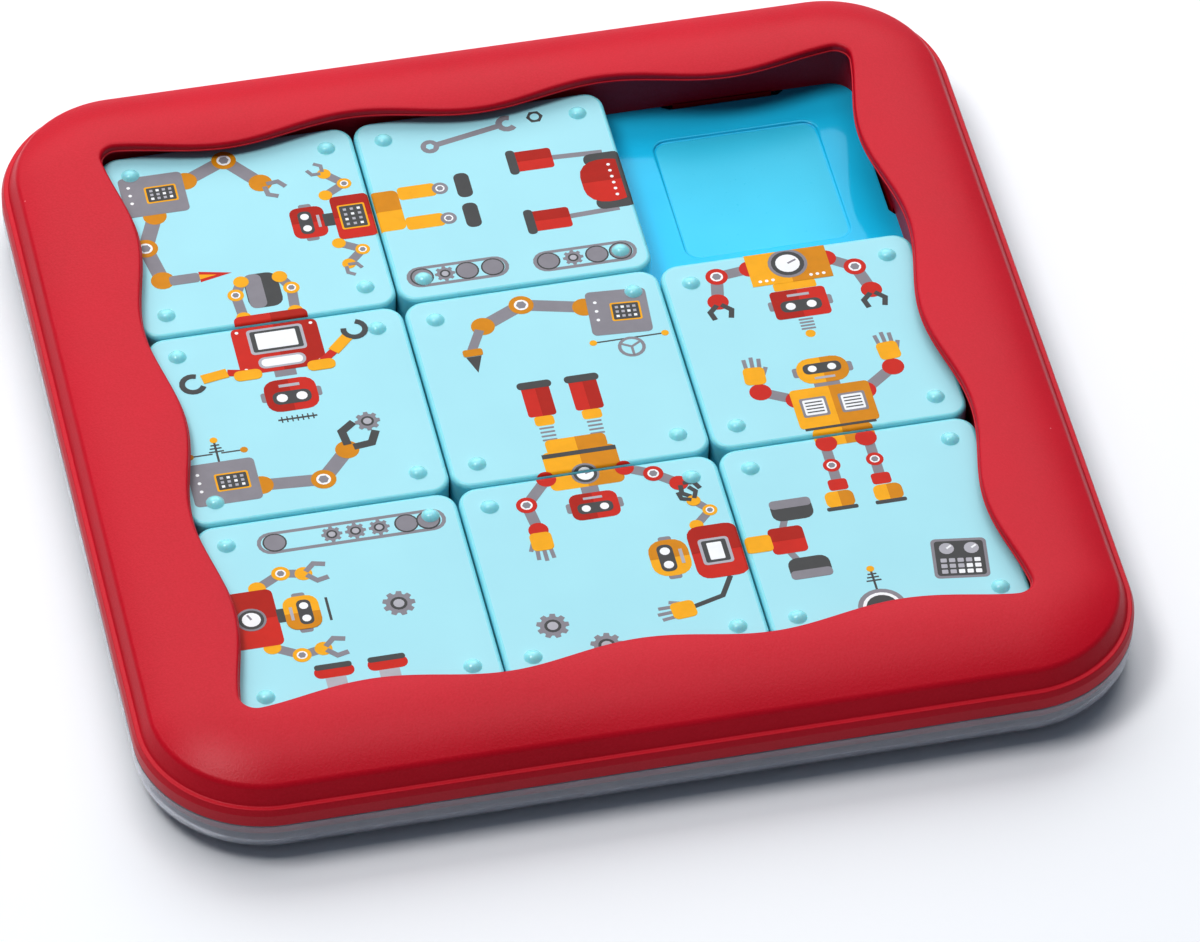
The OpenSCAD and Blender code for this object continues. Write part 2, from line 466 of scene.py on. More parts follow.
def blue_tray(materials):
    """The tray: a dish turned over, with clip slots, sunk fields, and ribs below."""
    solid = Solid()
    corner = TRAY_HALF - CORNER_AT
    floor_under = FLOOR_Z - TRAY_FLOOR
    ease = 0.3
    outer = rounded_square(TRAY_HALF, corner)
    inner = rounded_square(TRAY_HALF - TRAY_RIM, corner - TRAY_RIM)
    top_edge = lifted(grown(outer, -ease), FLOOR_Z)
    under_edge = lifted(grown(inner, -ease), floor_under)
    solid.loft([
        top_edge, lifted(grown(outer, -ease * 0.3), FLOOR_Z - ease * 0.3), lifted(outer, FLOOR_Z - ease),
        lifted(outer, TRAY_FOOT + ease), lifted(grown(outer, -ease), TRAY_FOOT),
        lifted(grown(inner, ease), TRAY_FOOT), lifted(inner, TRAY_FOOT + ease),
        lifted(inner, floor_under - ease), under_edge,
    ])
    top_holes, under_holes = [], []
    for turn in range(4):
        for cell in CELLS:
            slot = turned([(x, y + cell * PITCH) for x, y in slot_outline()], 90 * turn)
            rings = [
                lifted(grown(slot, ease), FLOOR_Z), lifted(grown(slot, ease * 0.3), FLOOR_Z - ease * 0.3),
                lifted(slot, FLOOR_Z - ease), lifted(slot, floor_under),
            ]
            solid.loft(rings)
            top_holes.append(rings[0])
            under_holes.append(rings[-1])
    for x in CELLS:
        for y in CELLS:
            rings = field_rings((x * PITCH, y * PITCH))
            solid.loft(rings)
            solid.cover([rings[-1]], paint=1)
            top_holes.append(rings[0])
    solid.cover([top_edge, *top_holes])
    solid.cover([under_edge, *under_holes])
    add_grid(solid, floor_under)
    return solid.object("tray_floor", materials)


def field_rings(at):
    """The sunk field of a cell: a rounded step down, from the floor to the field's own floor."""
    r = FIELD_DEPTH / 2
    rings = []
    for a in range(0, 91, 18):
        drop = r * (1 - cos(radians(a)))
        outline = rounded_square(FIELD_HALF + FIELD_EASE * (1 - sin(radians(a))), FIELD_CORNER + FIELD_EASE)
        rings.append(lifted(outline, FLOOR_Z - drop, at))
    for a in range(72, -1, -18):
        drop = FIELD_DEPTH - r * (1 - cos(radians(a)))
        outline = rounded_square(FIELD_HALF - FIELD_EASE * (1 - sin(radians(a))), FIELD_CORNER)
        rings.append(lifted(outline, FLOOR_Z - drop, at))
    return rings


def add_grid(solid, top):
    """Ribs under the floor, running both ways."""
    reach = grid_high.x
    for k in GRID_LINES:
        low, high = k * GRID_STEP - GRID_HALF, k * GRID_STEP + GRID_HALF
        for turn in (0, 90):
            outline = [(low, -reach), (high, -reach), (high, reach), (low, reach)]
            prism(solid, turned(outline, turn), grid_low.z, top + 0.3)


# ---------------- tiles


def stud_rings(at):
    """A low dome with a soft foot, from its foot upwards."""
    foot = 0.2
    dome_r = (STUD_R ** 2 + STUD_H ** 2) / (2 * STUD_H)
    spread = asin((STUD_R - foot * 0.3) / dome_r)
    rings = [(STUD_R + foot, 0), (STUD_R + foot * 0.4, 0.05), (STUD_R, 0.16)]
    base = STUD_H - dome_r
    for k in range(1, 9):
        a = spread * (1 - k / 8.5)
        rings.append((dome_r * sin(a), base + dome_r * cos(a)))
    return [lifted(circle(r, 28), FACE_Z + z, at) for r, z in rings]


def tile_ring(inset, z):
    return lifted(rounded_square(TILE_HALF - inset, TILE_CORNER - inset), z)


def tile_mesh(name, materials):
    """One tile about its own centre line, at its real height, with studs on top and pockets below."""
    solid = Solid()
    ease = 0.25
    rings = [
        tile_ring(ease, FLOOR_Z),
        tile_ring(ease * 0.3, FLOOR_Z + ease * 0.3),
        tile_ring(0, FLOOR_Z + ease),
    ]
    for a in range(0, 91, 15):
        inset = TILE_EASE * (1 - cos(radians(a)))
        rings.append(tile_ring(inset, FACE_Z - TILE_EASE * (1 - sin(radians(a)))))
    solid.loft(rings)
    studs = [stud_rings((x * STUD_AT, y * STUD_AT)) for x in (-1, 1) for y in (-1, 1)]
    for stud in studs:
        solid.loft(stud, paint=2)
        solid.cover([stud[-1]], paint=2)
    solid.cover([rings[-1], *[stud[0] for stud in studs]], paint=1)
    inner = TILE_HALF - TILE_WALL
    step = (2 * inner + TILE_RIB) / 3
    mouth = rounded_square((step - TILE_RIB) / 2, 1.0, 3)
    mouths = []
    for x in CELLS:
        for y in CELLS:
            at = (x * step, y * step)
            mouths.append(lifted(mouth, FLOOR_Z, at))
            roof = lifted(mouth, FACE_Z - TILE_WALL, at)
            solid.loft([mouths[-1], roof])
            solid.cover([roof])
    solid.cover([rings[0], *mouths])
    return solid.object(name, materials)


# ---------------- the printed picture: plain machines

EASE_AT = TILE_HALF - TILE_EASE
PRINT_HALF = TILE_HALF - 0.2
PRINT_CUTS = (EASE_AT, EASE_AT + 0.35, EASE_AT + 0.6)
PRINT_CORNER = TILE_CORNER - 0.2
PRINT_LAYER = 0.015
PRINT_DEPTH = 0.02
INK_COLOURS = {
    "red": (208, 46, 32), "dark_red": (182, 36, 20), "amber": (246, 178, 28), "dark_amber": (216, 144, 20),
    "light_grey": (186, 184, 190), "grey": (148, 144, 150), "dark_grey": (84, 84, 84),
    "white": (246, 246, 246),
}
INKS = (*INK_COLOURS, "bare")


def stroke(points, width):
    """Outline of a line of that width through the points, with mitred bends."""
    left, right = [], []
    for k, point in enumerate(points):
        p = Vector(point)
        ways = []
        if k > 0:
            ways.append((p - Vector(points[k - 1])).normalized())
        if k < len(points) - 1:
            ways.append((Vector(points[k + 1]) - p).normalized())
        way = sum(ways, Vector((0, 0))).normalized()
        side = Vector((-way.y, way.x)) * (width / 2 / max(way.dot(ways[0]), 0.5))
        left.append(tuple(p + side))
        right.append(tuple(p - side))
    return left + right[::-1]


class Brush:
    """Draws flat shapes at a place, turned by some degrees, onto one list of shapes in board mm."""

    def __init__(self, shapes, at=(0, 0), turn=0):
        self.shapes = shapes
        self.origin = at
        self.turn = turn

    def there(self, at, turn=0):
        """A brush at a place counted from this one, turned by some more degrees."""
        (x, y), = turned([at], self.turn)
        return Brush(self.shapes, (self.origin[0] + x, self.origin[1] + y), self.turn + turn)

    def draw(self, ink, outline):
        """Adds one flat shape."""
        placed = [(x + self.origin[0], y + self.origin[1]) for x, y in turned(outline, self.turn)]
        self.shapes.append((ink, placed))

    def box(self, ink, *measures):
        self.draw(ink, box(*measures))

    def disc(self, ink, *measures):
        self.draw(ink, circle(*measures))

    def line(self, ink, points, width):
        self.draw(ink, stroke(points, width))

    def split_box(self, ink, w, h, r=0.0):
        """A box whose right half is the darker ink."""
        outline = box(w, h, r)
        self.draw(ink, outline)
        self.draw("dark_" + ink, cut(outline, (1, 0), 0))


def cut(outline, normal, offset):
    """The part of an outline where the dot product with normal is over offset."""
    out = []
    for k, p in enumerate(outline):
        q = outline[(k + 1) % len(outline)]
        a = p[0] * normal[0] + p[1] * normal[1] - offset
        b = q[0] * normal[0] + q[1] * normal[1] - offset
        if a >= 0:
            out.append(p)
        if a * b < 0:
            share = a / (a - b)
            out.append((p[0] + (q[0] - p[0]) * share, p[1] + (q[1] - p[1]) * share))
    return out


def joint(brush, at, r, ink):
    """A coloured disc with a bolt."""
    spot = brush.there(at)
    spot.disc(ink, r, 20)
    spot.disc("white", r * 0.58, 14)
    spot.disc("grey", r * 0.42, 6)


def rivets(brush, places):
    for at in places:
        brush.disc("white", 0.45, 8, at)


def gear(brush, at, r, teeth=8):
    """A toothed wheel with a hub."""
    spot = brush.there(at)
    outline = []
    for k in range(teeth):
        middle = 360 * k / teeth
        for away, reach in ((-15, 0.78), (-9, 1), (9, 1), (15, 0.78)):
            a = radians(middle + away)
            outline.append((r * reach * cos(a), r * reach * sin(a)))
    spot.draw("grey", outline)
    spot.disc("dark_grey", r * 0.52, 14)
    spot.disc("light_grey", r * 0.34, 12)


def claw(brush, at, turn, size=1.0, ink="dark_grey"):
    """Two bent fingers."""
    spot = brush.there(at, turn)
    for side in (-1, 1):
        points = [(0, side * 0.4), (1.6, side * 2.0), (3.6, side * 1.5)]
        spot.line(ink, [(x * size, y * size) for x, y in points], 1.0 * size)


def hook(brush, at, turn, r=2.5):
    """An open ring."""
    spot = brush.there(at, turn)
    spot.line("dark_grey", arc((0, 0), r, 45, 315, 14), 1.3)


def hand(brush, at, turn, ink):
    """A palm with three grey fingers and a thumb."""
    spot = brush.there(at, turn)
    spot.line("grey", [(0, -2), (2.6, -3)], 1.0)
    for y in (-1.5, 0, 1.5):
        spot.line("grey", [(2, y), (6 - abs(y) * 0.4, y * 1.15)], 0.95)
    spot.box(ink, 5.5, 5, 1.2)


def arm(brush, points, width, ink, r=1.9):
    """A jointed arm: grey bars between coloured joints, the middle ones with a bolt."""
    brush.line("grey", points, width)
    for at in (points[0], points[-1]):
        brush.disc(ink, r * 0.95, 20, at)
    for at in points[1:-1]:
        joint(brush, at, r, ink)


def keypad(brush, at, w, h, cols, rows):
    """Rows of lit keys in an amber rim."""
    spot = brush.there(at)
    spot.box("amber", w, h, 0.5)
    spot.box("dark_grey", w - 0.9, h - 0.9, 0.3)
    for x in range(cols):
        for y in range(rows):
            place = ((x + 0.5) / cols - 0.5) * (w - 1.6), ((y + 0.5) / rows - 0.5) * (h - 1.6)
            spot.draw("light_grey" if (x + y) % 3 else "white", box(0.75, 0.75, 0, place))


def dial(brush, at, r):
    """A round gauge with a pointer."""
    spot = brush.there(at)
    spot.disc("grey", r, 22)
    spot.disc("dark_grey", r * 0.84, 20)
    spot.disc("white", r * 0.62, 18)
    spot.line("grey", [(0, 0), (r * 0.45, r * 0.2)], 0.5)


def screen(brush, at, w, h):
    """A blank screen in a frame."""
    spot = brush.there(at)
    spot.box("light_grey", w, h, 0.9)
    spot.box("dark_grey", w - 1.4, h - 1.4, 0.5)
    spot.box("white", w - 3.6, h - 2.8, 0.3)


def grille(brush, at, w, h):
    """A white panel with slits."""
    spot = brush.there(at)
    spot.box("grey", w, h, 0.5)
    spot.box("white", w - 1.2, h - 1.2, 0.4)
    for k in range(4):
        spot.box("dark_grey", w - 2.2, 0.35, 0, (0, (k - 1.5) * (h - 2) / 4))


def control_box(brush, at, turn, w, h):
    """A grey box with a keypad and three rivets."""
    spot = brush.there(at, turn)
    spot.box("grey", w, h, 1.2)
    keypad(spot, (w * 0.12, 0), w * 0.5, h * 0.42, 4, 3)
    rivets(spot, [(-w * 0.36, y * h) for y in (-0.15, 0.05, 0.25)])


def aerial(brush, at, turn):
    """A mast with cross bars and a ball."""
    spot = brush.there(at, turn)
    spot.box("dark_grey", 0.5, 6.5, 0, (0, 3))
    for k in range(3):
        spot.box("dark_grey", 3.4 - k * 0.7, 0.4, 0, (0, 3.2 + k))
    spot.disc("amber", 0.9, 12, (0, 6.8))


def spring(brush, at, turn, length=5, width=3.4):
    spot = brush.there(at, turn)
    for k in range(4):
        spot.box("grey", width, 0.55, 0.2, (0, (k - 1.5) * length / 4))


def head(brush, at, turn, ink, w=10, h=8, r=2.0):
    """A plain machine head: a box with a dark visor, two round lenses and an ear on each side."""
    spot = brush.there(at, turn)
    for side in (-1, 1):
        spot.box("grey", 2, 3, 0.6, (side * w / 2, 0))
    spot.split_box(ink, w, h, r)
    spot.box("dark_grey", w * 0.74, h * 0.4, h * 0.16, (0, h * 0.08))
    for side in (-1, 1):
        spot.disc("white", h * 0.13, 12, (side * w * 0.19, h * 0.08))
    spot.box("light_grey", w * 0.4, h * 0.09, 0, (0, -h * 0.3))


def boot(brush, at, turn, ink, w=7, h=8):
    """A boot with its sole away from the leg, at +Y."""
    spot = brush.there(at, turn)
    spot.split_box(ink, w - 1.5, h, 0.8)
    spot.box("dark_grey", w, 2.2, 1.0, (0, h / 2))


def belt(brush, start, length, wheels, gears):
    """A conveyor seen from the side: a band round a row of rollers and gears."""
    spot = brush.there(start)
    h = 6.6
    spot.box("grey", length, h, h / 2 - 0.05, (length / 2, 0))
    spot.box("bare", length - 1.8, h - 1.8, h / 2 - 0.95, (length / 2, 0))
    for x in wheels:
        spot.disc("dark_grey", 2.75, 20, (x, 0))
        spot.disc("grey", 2.4, 18, (x, 0))
    for x in gears:
        gear(spot, (x, 0), 2.4)


def wrench(brush, at, turn, length):
    spot = brush.there(at, turn)
    spot.box("grey", length, 1.6, 0, (length / 2, 0))
    spot.disc("grey", 2.2, 16)
    spot.disc("bare", 1.0, 6)
    spot.line("grey", arc((length + 1.6, 0), 1.9, 50, 310, 10), 1.5)


def nut(brush, at):
    brush.disc("dark_grey", 2.0, 6, at)
    brush.disc("bare", 1.1, 14, at)


def draw_far_left(b):
    """Two bench arms on a control box, and the head and arms of the lying machine."""
    arm(b, [(-20, 9), (-24, -1), (-22, -12)], 3.5, "dark_amber", 2.9)
    arm(b, [(-11, 19), (-1, 24), (6, 15)], 3.5, "dark_amber", 2.9)
    claw(b, (7, 14), -38, 1.2, "grey")
    control_box(b, (-19, 16), 0, 15, 13)
    b.box("grey", 7, 3, 0.8, (-17, -12.5))
    b.draw("red", [(-13.5, -14.2), (-13.5, -10.8), (-6, -12.5)])
    b.draw("amber", [(-13.5, -13.3), (-13.5, -11.7), (-9.5, -12.5)])
    for side in (-1, 1):
        arm(b, [(20, side * 8), (25, side * 11), (21, side * 15)], 2.2, "amber", 1.7)
        claw(b, (20.5, side * 15.5), 90 * side + 45, 0.9, "grey")
    head(b, (14.5, 0), 90, "red", 10, 8)
    b.box("dark_grey", 3, 4, 0, (19.5, 0))


def draw_lying_body(b):
    """Body and legs of the machine that lies across the left seam of the far row."""
    torso = b.there((-1, 0), 90)
    torso.split_box("amber", 13, 15, 1.5)
    torso.there((0, 4)).split_box("red", 14, 9, 1.2)
    keypad(torso, (0, 4), 8, 6.5, 4, 3)
    for side in (-1, 1):
        b.box("amber", 9, 4.2, 1, (11, side * 5))
        b.box("dark_grey", 3.6, 8, 1.5, (22, side * 5))
        joint(b, (16.5, side * 5), 1.9, "grey")


def draw_far_middle(b):
    """A wrench, a nut, a red machine with two boots, and two belts."""
    wrench(b, (-13, 19), 12, 18)
    nut(b, (13, 24))
    for side in (-1, 1):
        b.line("grey", [(12, side * 10), (26, side * 9.4)], 1.5)
        boot(b, (9.5, side * 10), 90, "red", 8, 9.5)
        b.box("dark_grey", 9, 4, 1.8, (25.6, side * 7.2))
    b.there((25.2, 0), 90).split_box("red", 14, 12, 5)
    b.box("dark_grey", 1.6, 13, 0.5, (29.3, 0))
    rivets(b, [(26.5, y) for y in (-5, -3, -1, 1, 3, 5)])
    belt(b, (-27, -22.6), 24, (3.6, 14.2, 20.2), (9,))
    belt(b, (2.6, -23.3), 24.4, (3.6, 15, 20.6), (9.4,))


def draw_screen_robot(b):
    """The machine that hangs across the upper seam of the left column."""
    b.box("dark_grey", 8, 11, 2.5, (0, 10.5))
    b.box("grey", 4, 11, 1.6, (-1.8, 10.5))
    for side in (-1, 1):
        arm(b, [(side * 4.5, 14), (side * 6.5, 10), (side * 6, 2.5)], 2.4, "amber", 1.9)
    hips = b.there((0, 0.5))
    hips.split_box("red", 17, 5, 1.5)
    spot = b.there((0, -8))
    spot.split_box("red", 20, 15, 1.8)
    screen(spot, (0, 2.3), 13, 8)
    spot.box("light_grey", 11, 3.6, 1.6, (0, -4.6))
    spot.box("white", 9.6, 2.4, 1.1, (0, -4.6))
    rivets(spot, [(x * 8.6, y * 6) for x in (-1, 1) for y in (-1, 1)])
    for side, bend, tip in ((-1, (-13, -14), (-19, -15)), (1, (12, -12), (16, -8))):
        b.line("red", [(side * 8.5, -15), bend], 2.0)
        b.line("amber", [bend, tip], 2.8)
        b.box("amber", 6.5, 3.2, 1.4, (side * 8.5, -15.6))
    hook(b, (-21.3, -16), 20)
    hook(b, (18, -6), 120)
    b.box("grey", 5, 2, 0, (0, -16.5))
    head(b, (0, -23.5), 180, "red", 12, 10, 3)
    b.box("dark_grey", 9, 0.5, 0, (0, -31))
    for x in range(-3, 4):
        b.box("dark_grey", 0.3, 1.8, 0, (x * 1.2, -31))


def draw_middle_left(b):
    """A bench arm that holds a gear, on a control box with an aerial."""
    arm(b, [(-12, -20), (2, -21), (9, -13)], 3.5, "dark_amber", 2.9)
    claw(b, (10, -12), 52, 1.9, "dark_grey")
    gear(b, (15.2, -5.2), 2.9)
    aerial(b, (-20, -11), 0)
    for side in (-1, 1):
        b.box("dark_grey", 5, 0.4, 0, (-20 + side * 3.5, -8.4))
        b.disc("dark_amber", 0.9, 10, (-20 + side * 6.2, -8.4))
    control_box(b, (-20, -17.5), 0, 15.5, 13)


def draw_centre(b):
    """A bench arm with a drill, on a control box with a hand wheel."""
    arm(b, [(11, 20.5), (-3, 24), (-13, 19)], 3.5, "dark_amber", 2.9)
    b.line("grey", [(-14, 18), (-17, 12)], 2.2)
    b.box("dark_amber", 4.6, 2.2, 0.6, (-17, 11.2))
    b.draw("dark_grey", [(-18.8, 10), (-15.2, 10), (-17, 4.8)])
    for side in (-1, 1):
        b.box("dark_grey", 7, 0.4, 0, (19 + side * 4.5, 8.8))
        b.disc("amber", 0.9, 10, (19 + side * 8.4, 8.8))
    b.disc("grey", 3.2, 20, (19, 6))
    b.disc("bare", 2.4, 18, (19, 6))
    for turn in (30, 150, 270):
        b.there((19, 6), turn).box("grey", 2.6, 0.6, 0, (1.3, 0))
    control_box(b, (18.5, 17.5), -4, 14, 14)


def draw_boots_robot(b):
    """The machine that hangs across the lower seam of the middle column."""
    for side in (-1, 1):
        boot(b, (side * 5.5, 23.5), 0, "red", 8, 10)
        b.box("amber", 4.5, 3, 0.8, (side * 5.5, 17))
        spring(b, (side * 5.5, 12.8), 0)
    b.there((0, 8.6)).split_box("amber", 14, 4.4, 1.2)
    b.there((0, 1)).split_box("amber", 17, 12, 1.5)
    b.box("dark_grey", 17, 1.3, 0, (0, 5.8))
    dial(b, (0, -1), 3.2)
    arm(b, [(-9, -1), (-15, -8), (-14, -16)], 2.6, "red", 2.4)
    hand(b, (-14, -19.5), -90, "amber")
    arm(b, [(9, -1), (15, -4), (20, -8)], 2.6, "red", 2.3)
    claw(b, (20.5, -8.5), -50, 1.1)
    b.box("grey", 4, 2, 0, (0, -6))
    head(b, (0, -11), 180, "red", 11, 8)


def draw_middle_right(b):
    """A machine with a dial, two claws and its head hanging down."""
    for side, elbow, wrist in ((-1, (-17, 24), (-18.5, 16)), (1, (15, 21), (17, 13))):
        arm(b, [(side * 9, 25), elbow, wrist], 2.9, "red", 2.6)
        claw(b, (wrist[0], wrist[1] - 1), -90, 1.25)
    b.there((0, 25.5)).split_box("amber", 19, 13, 0)
    dial(b, (0, 25), 4.6)
    rivets(b, [(x, 20.4) for x in (-7.5, -6, -4.5, 4.5, 6, 7.5)])
    b.box("amber", 10, 2.4, 0.5, (0, 17.8))
    head(b, (0, 12), 180, "red", 13, 9, 1)
    spring(b, (0, 5.2), 0, 4)
    b.disc("amber", 1.2, 12, (0, 2))


def draw_grille_robot(b):
    """The machine that stands across the lower seam of the right column."""
    for side, x in ((-1, -5), (1, 5)):
        b.line("grey", [(x, -1), (x, -16)], 2.4)
        joint(b, (x, -9.5), 2.0, "red")
        b.box("red", 4.4, 3.4, 0.8, (x, -15.6))
        b.there((x + side * 0.6, -20)).split_box("amber", 6.6, 5, 1.6)
        b.box("dark_grey", 7.2, 1.1, 0.4, (x + side * 0.6, -22.8))
    b.there((0, -0.5)).split_box("amber", 14, 6, 2)
    for x in (-4.6, 4.6):
        b.disc("red", 2.5, 16, (x, -2.6))
    for side, elbow in ((-1, (-15.5, 16)), (1, (16, 18))):
        arm(b, [(side * 8, 12), elbow], 2.8, "red", 2.7)
        hand(b, (elbow[0] + side * 0.2, elbow[1] + 5.2), 90 + side * 4, "amber")
    b.there((0, 8.8)).split_box("amber", 18.5, 12.4, 1)
    b.box("dark_grey", 16.5, 0.7, 0, (0, 2.3))
    for side in (-1, 1):
        grille(b, (side * 4.5, 9), 6.2, 6)
    b.box("grey", 6, 1.6, 0, (0, 15.8))
    head(b, (0, 20.2), 0, "amber", 12, 8, 3.4)


def draw_near_left(b):
    """A belt, a gear, a lying machine with two claws, and two boots."""
    belt(b, (-16.5, 22), 43, (4, 34, 39), (17, 22.4, 27.8))
    for side in (-1, 1):
        arm(b, [(-19, side * 9), (-13, side * 12.5), (-8, side * 11.5)], 2.4, "amber", 2.1)
        claw(b, (-7.4, side * 11.5), 0, 1.3, "grey")
    torso = b.there((-21.5, 0), 90)
    torso.split_box("red", 17, 11, 1.5)
    dial(torso, (0, 0.5), 3.4)
    b.box("dark_grey", 2, 4, 0, (-15.2, 0))
    head(b, (-10.5, 0), -90, "amber", 10, 8, 2.6)
    b.box("dark_grey", 0.6, 7, 0, (-4.6, 0))
    gear(b, (11, -1.5), 3.7, 9)
    for x in (-7, 5):
        b.box("light_grey", 4.6, 6, 0, (x, -22))
        b.box("red", 9, 3.4, 1.6, (x, -18.6))
        b.box("dark_grey", 8.4, 1.6, 0.7, (x, -17))


def draw_near_middle(b):
    """Two gears."""
    gear(b, (-17, -15), 3.7, 9)
    gear(b, (-6.5, -23), 3.7, 9)


def draw_rolling_robot(b):
    """The machine that lies across the right seam of the near row."""
    arm(b, [(-9, 8.5), (-5, 12.5), (-8, 16)], 2.0, "amber", 1.7)
    claw(b, (-8, 16.5), 115, 1.0)
    b.line("dark_grey", [(-5, -8), (-8, -13.5), (-15, -15.5)], 1.2)
    hand(b, (-17.5, -16), 185, "amber")
    for side in (-1, 1):
        b.line("grey", [(9, side * 2), (11, side * 7)], 1.6)
        b.there((13, side * 9), 0).box("dark_grey", 9.5, 6.4, 2.2)
        b.there((13, side * 9), 0).box("grey", 9.5, 2.6, 1.0, (0, side * 1.9))
    b.there((10, 0), 90).split_box("red", 8, 8, 1.2)
    b.box("amber", 6, 5, 1, (3.4, 0))
    b.there((-6, 0), 90).split_box("red", 16, 12, 3)
    screen(b, (-6.5, 0), 7, 8)
    head(b, (-17, 0), 90, "amber", 11, 9, 3.6)


def draw_near_right(b):
    """A box with two dials and keys, and a round lens with an aerial."""
    spot = b.there((16.5, -13), -8)
    spot.box("grey", 12.5, 12, 1.2)
    spot.box("dark_grey", 11, 10.5, 0.8)
    for side in (-1, 1):
        spot.disc("light_grey", 1.7, 14, (side * 2.8, 3))
        spot.line("white", [(side * 2.8, 3), (side * 2.8 + 1.1, 3.9)], 0.5)
    for x in range(5):
        for y in range(3):
            ink = "white" if x + y > 3 else "light_grey"
            spot.box(ink, 1.4, 1.2, 0.2, ((x - 2) * 1.9, -0.6 - y * 1.7))
    aerial(b, (-4, -19), 0)
    b.disc("grey", 5.5, 26, (-4, -24))
    b.disc("white", 4.4, 22, (-4, -24))
    b.disc("dark_grey", 3.6, 20, (-4, -24))


def board_picture():
    """All shapes of the picture, in board mm, from the lowest to the topmost."""
    brush = Brush([])
    drawings = [
        (draw_far_left, (-1, 1)), (draw_far_middle, (0, 1)), (draw_middle_left, (-1, 0)),
        (draw_centre, (0, 0)), (draw_middle_right, (1, 0)), (draw_near_left, (-1, -1)),
        (draw_near_middle, (0, -1)), (draw_near_right, (1, -1)),
        (draw_lying_body, (-0.5, 1)), (draw_screen_robot, (-1, 0.5)), (draw_boots_robot, (0, -0.5)),
        (draw_grille_robot, (1, -0.5)), (draw_rolling_robot, (0.5, -1)),
    ]
    for drawing, (column, row) in drawings:
        drawing(brush.there((column * PITCH, row * PITCH)))
    return brush.shapes


def clipped(outline, window):
    """An outline cut to a convex window that runs counter-clockwise."""
    for k, (ax, ay) in enumerate(window):
        bx, by = window[(k + 1) % len(window)]
        way = Vector((bx - ax, by - ay)).normalized()
        outline = cut(outline, (-way.y, way.x), -way.y * ax + way.x * ay)
        if len(outline) < 3:
            return []
    return outline


def drop(x, y):
    """How far a tile's rounded upper edge lies below its face at a place."""
    over = max(abs(x), abs(y)) - EASE_AT
    return TILE_EASE - sqrt(TILE_EASE ** 2 - over ** 2) if over > 0 else 0.0


def pieces_over_edge(outline):
    """An outline split along the lines where the rounded edge bends."""
    parts = [outline]
    for normal in ((1, 0), (-1, 0), (0, 1), (0, -1)):
        for at in PRINT_CUTS:
            away = (-normal[0], -normal[1])
            parts = [cut(part, *side) for part in parts for side in ((normal, at), (away, -at))]
            parts = [part for part in parts if len(part) > 2]
    return parts


def spread(outline):
    """Lowest and highest x, then lowest and highest y."""
    xs, ys = [p[0] for p in outline], [p[1] for p in outline]
    return min(xs), max(xs), min(ys), max(ys)


def print_mesh(name, shapes, centre, inks):
    """The picture on one tile, as thin closed layers of ink about the tile's centre line."""
    solid = Solid()
    window = rounded_square(PRINT_HALF, PRINT_CORNER)
    laid = []
    for ink, outline in shapes:
        outline = clipped([(x - centre[0], y - centre[1]) for x, y in outline], window)
        if not outline:
            continue
        x0, x1, y0, y1 = spread(outline)
        if x1 - x0 < 0.1 or y1 - y0 < 0.1:
            continue
        under = [layer for layer, (a, b, c, d) in laid if a < x1 and x0 < b and c < y1 and y0 < d]
        layer = max(under, default=0) + 1
        laid.append((layer, (x0, x1, y0, y1)))
        for part in pieces_over_edge(outline):
            low = [(x, y, FACE_Z - drop(x, y) - PRINT_DEPTH) for x, y in part]
            high = [(x, y, FACE_Z - drop(x, y) + layer * PRINT_LAYER) for x, y in part]
            solid.loft([low, high], caps=True, paint=INKS.index(ink))
    return solid.object(name, inks, weld=False, sharp=30)


# ---------------- lid


def clear_lid(material):
    """The clear dish that the board stands in."""
    solid = Solid()
    stations = rim_stations(28, 24)
    ease = 0.35
    outer = arc((FRAME_CORNER - LID_EDGE, LID_EDGE), LID_EDGE, 270, 360, 14)
    rim = arc((FRAME_CORNER - ease, FLANGE_Z - ease), ease, 0, 90, 3)
    rim += arc((FRAME_CORNER - LID_WALL + ease, FLANGE_Z - ease), ease, 90, 180, 3)
    edge = LID_EDGE - LID_WALL
    inner = arc((FRAME_CORNER - LID_EDGE, LID_FLOOR + edge), edge, 360, 270, 12)
    rings = [[rim_point(station, reach, z) for station in stations] for reach, z in outer + rim + inner]
    solid.loft(rings)
    solid.cover([rings[0]])
    solid.cover([rings[-1]])
    return solid.object("clear_dish", [material])


# ---------------- materials


